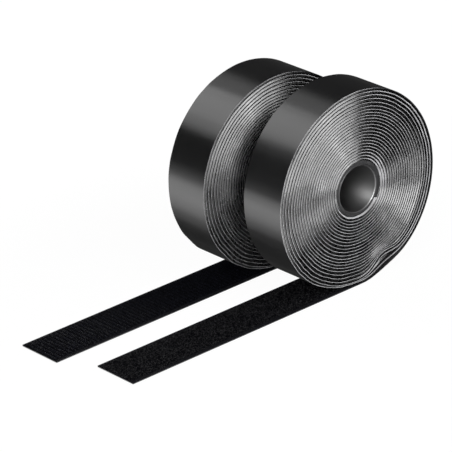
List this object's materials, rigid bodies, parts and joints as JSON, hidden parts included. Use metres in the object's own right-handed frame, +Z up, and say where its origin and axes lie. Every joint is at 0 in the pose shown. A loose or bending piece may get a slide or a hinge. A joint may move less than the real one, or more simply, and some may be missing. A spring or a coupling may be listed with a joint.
{
  "type": "hook and loop tape roll",
  "caption": "Self-adhesive hook and loop tape: a roll of hook tape and a roll of loop tape on plastic cores, each with a flat tail whose end peels off its release liner.",
  "frame": {"origin": "centre of the pair's footprint, on the surface that the rolls stand on", "axes": "+Z up; the roll axes lie along Y with the hook roll at +Y and the loop roll at -Y; the tails run out along -X"},
  "size_m": [0.1996, 0.0668, 0.097],
  "materials": {
    "core_plastic": "smooth satin extruded tube",
    "wrap_plastic": "matt dark strip",
    "wound_tape": "black woven tape with a glossy dark film liner outside",
    "liner_film": "glossy dark film",
    "adhesive": "tacky satin layer",
    "woven_web": "fine black plain weave",
    "hook_pile": "rows of stiff black hooks",
    "loop_pile": "soft fuzzy black loops"
  },
  "bodies": {
    "hook_tail": {"hook_tail_liner": "liner_film", "hook_tail_adhesive": "adhesive", "hook_tail_web": "woven_web", "hook_tail_hooks": "hook_pile"},
    "hook_core": {"hook_core_tube": "core_plastic"},
    "hook_winding": {"hook_core_wrap": "wrap_plastic", "hook_tape_winding": "wound_tape"},
    "hook_tape_end": {"hook_end_adhesive": "adhesive", "hook_end_web": "woven_web", "hook_end_hooks": "hook_pile"},
    "loop_tail": {"loop_tail_liner": "liner_film", "loop_tail_adhesive": "adhesive", "loop_tail_web": "woven_web", "loop_tail_loops": "loop_pile"},
    "loop_core": {"loop_core_tube": "core_plastic"},
    "loop_winding": {"loop_core_wrap": "wrap_plastic", "loop_tape_winding": "wound_tape"},
    "loop_tape_end": {"loop_end_adhesive": "adhesive", "loop_end_web": "woven_web", "loop_end_loops": "loop_pile"}
  },
  "joints": [
    {"name": "hook_roll_travel", "type": "slide", "parent": "hook_tail", "child": "hook_core", "axis": [-1, 0, 0.0049], "range_m": [0, 0.075]},
    {"name": "hook_roll_spin", "type": "hinge", "parent": "hook_core", "child": "hook_winding", "pos_m": [0.04116, 0.0209, 0.04885], "axis": [0, -1, 0], "range_deg": [0, 89]},
    {"name": "hook_tape_peel", "type": "hinge", "parent": "hook_tail", "child": "hook_tape_end", "pos_m": [-0.06999, 0.0209, 0.0012], "axis": [0, 1, 0], "range_deg": [0, 60]},
    {"name": "loop_set_apart", "type": "slide", "parent": "hook_tail", "child": "loop_tail", "axis": [0, -1, 0], "range_m": [0, 0.1]},
    {"name": "loop_roll_travel", "type": "slide", "parent": "loop_tail", "child": "loop_core", "axis": [-1, 0, 0.0049], "range_m": [0, 0.075]},
    {"name": "loop_roll_spin", "type": "hinge", "parent": "loop_core", "child": "loop_winding", "pos_m": [0.05136, -0.0209, 0.04885], "axis": [0, -1, 0], "range_deg": [0, 89]},
    {"name": "loop_tape_peel", "type": "hinge", "parent": "loop_tail", "child": "loop_tape_end", "pos_m": [-0.05979, -0.0209, 0.0012], "axis": [0, 1, 0], "range_deg": [0, 60]}
  ],
  "couplings": [
    {"joint": "hook_roll_spin", "follows": "hook_roll_travel", "rad_per_m": 20.64},
    {"joint": "loop_roll_spin", "follows": "loop_roll_travel", "rad_per_m": 20.64}
  ]
}
